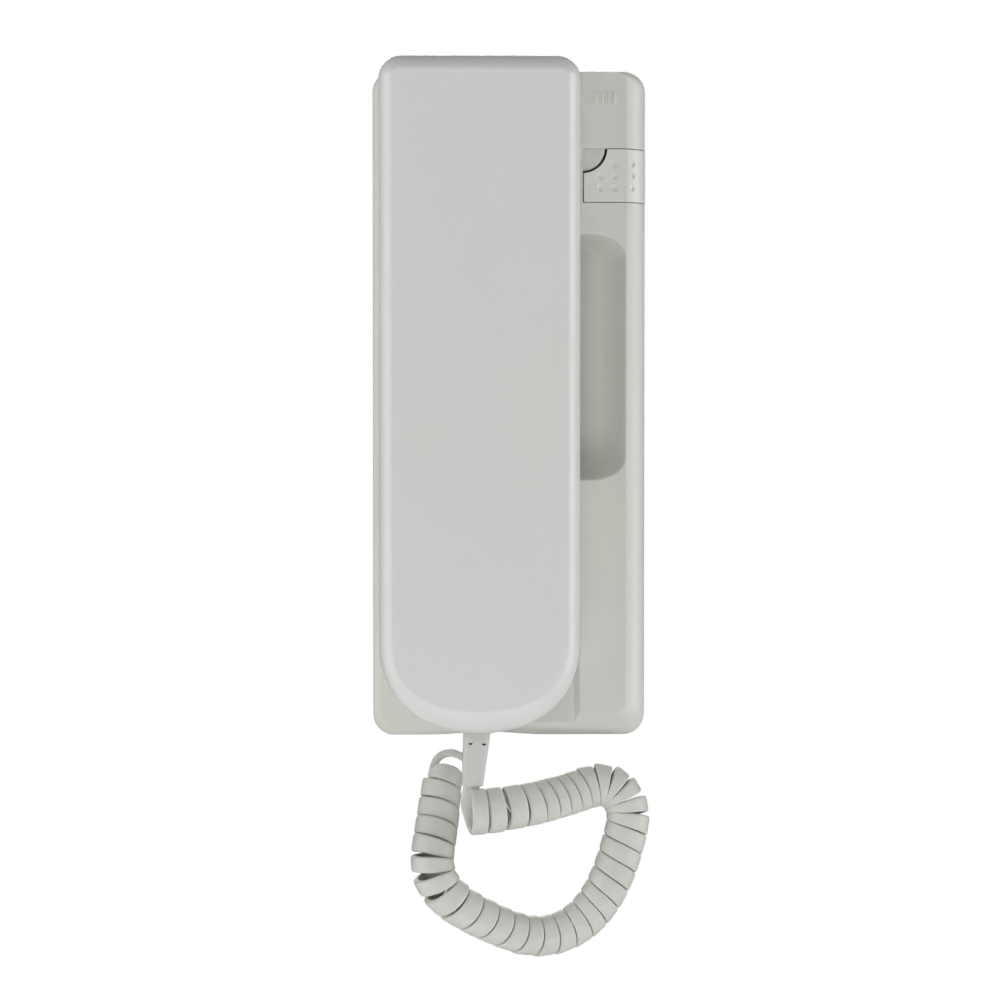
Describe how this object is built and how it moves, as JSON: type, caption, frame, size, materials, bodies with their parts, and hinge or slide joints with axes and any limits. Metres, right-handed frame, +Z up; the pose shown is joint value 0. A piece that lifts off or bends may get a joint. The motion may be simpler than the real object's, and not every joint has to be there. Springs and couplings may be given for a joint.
{
  "type": "slimline wall phone",
  "caption": "Slim wall-hung handset phone with a flat cradle base, a wrap-round door button, a finger scoop beside the handset and a curly cord.",
  "frame": {"origin": "middle of the flat wall face of the back plate", "axes": "+X to the right seen from the front, +Y into the wall, +Z up; the phone stands in front of the wall at negative Y"},
  "size_m": [0.086, 0.046, 0.2769],
  "materials": {
    "base_plastic": "satin moulded ABS, slightly yellowed white, fine spark texture",
    "handset_plastic": "satin moulded ABS, soft sheen",
    "button_plastic": "satin moulded ABS",
    "cord_pvc": "flexible PVC, satin, slightly yellowed",
    "plate_plastic": "moulded ABS, fine matt texture",
    "circuit_laminate": "phenolic paper laminate, satin",
    "terminal_plastic": "moulded nylon, satin",
    "black_plastic": "moulded phenolic, satin",
    "screw_steel": "zinc plated",
    "contact_brass": "rolled spring strip, polished",
    "capacitor_sleeve": "shrink sleeve, glossy",
    "transformer_steel": "varnished laminations",
    "receiver_plastic": "moulded, matt",
    "foam_rubber": "soft sealing foam",
    "microphone_can": "drawn can, satin",
    "plug_clear": "polycarbonate, glossy"
  },
  "bodies": {
    "base": {"back_plate": "plate_plastic", "front_cover": "base_plastic", "circuit_board": "circuit_laminate", "terminal_block": "terminal_plastic", "terminal_screw_1": "screw_steel", "terminal_screw_2": "screw_steel", "terminal_screw_3": "screw_steel", "terminal_screw_4": "screw_steel", "terminal_screw_5": "screw_steel", "terminal_screw_6": "screw_steel", "board_screw_upper": "screw_steel", "board_screw_lower": "screw_steel", "cover_screw": "screw_steel", "line_capacitor": "capacitor_sleeve", "speech_transformer": "transformer_steel", "call_buzzer": "black_plastic", "button_contact_block": "black_plastic", "button_fixed_contact": "contact_brass", "hook_contact_block": "black_plastic", "hook_fixed_contact": "contact_brass", "cord_jack": "black_plastic", "cord_plug": "plug_clear", "cord_lead": "cord_pvc"},
    "handset": {"handset_front_shell": "handset_plastic", "handset_inner_shell": "handset_plastic", "handset_screw_upper": "screw_steel", "handset_screw_lower": "screw_steel", "receiver_capsule": "receiver_plastic", "receiver_gasket": "foam_rubber", "microphone_boot": "foam_rubber", "microphone_capsule": "microphone_can", "strain_relief": "cord_pvc", "cord_coil": "cord_pvc"},
    "door_button": {"door_button": "button_plastic"},
    "button_leaf": {"button_leaf": "contact_brass"},
    "hook_plunger": {"hook_plunger": "button_plastic"},
    "hook_leaf": {"hook_leaf": "contact_brass"}
  },
  "joints": [
    {"name": "handset_lift", "type": "slide", "parent": "base", "child": "handset", "axis": [0, -1, 0], "range_m": [0, 0.06]},
    {"name": "door_button_press", "type": "slide", "parent": "base", "child": "door_button", "axis": [0, 1, 0], "range_m": [0, 0.0018], "stiffness_N_per_m": 500, "springref_m": -0.0012},
    {"name": "button_leaf_bend", "type": "hinge", "parent": "base", "child": "button_leaf", "pos_m": [0.0123, -0.0124, 0.0707], "axis": [0, 0, 1], "range_deg": [0, 6.7]},
    {"name": "hook_plunger_rise", "type": "slide", "parent": "base", "child": "hook_plunger", "axis": [0, -1, 0], "range_m": [0, 0.004]},
    {"name": "hook_leaf_bend", "type": "hinge", "parent": "base", "child": "hook_leaf", "pos_m": [-0.0095, -0.0117, 0.0397], "axis": [-1, 0, 0], "range_deg": [0, 14]}
  ],
  "couplings": [
    {"joint": "button_leaf_bend", "follows": "door_button_press", "rad_per_m": 63.7},
    {"joint": "hook_plunger_rise", "follows": "handset_lift", "ratio": 0.0666},
    {"joint": "hook_leaf_bend", "follows": "handset_lift", "rad_per_m": 4.03}
  ]
}
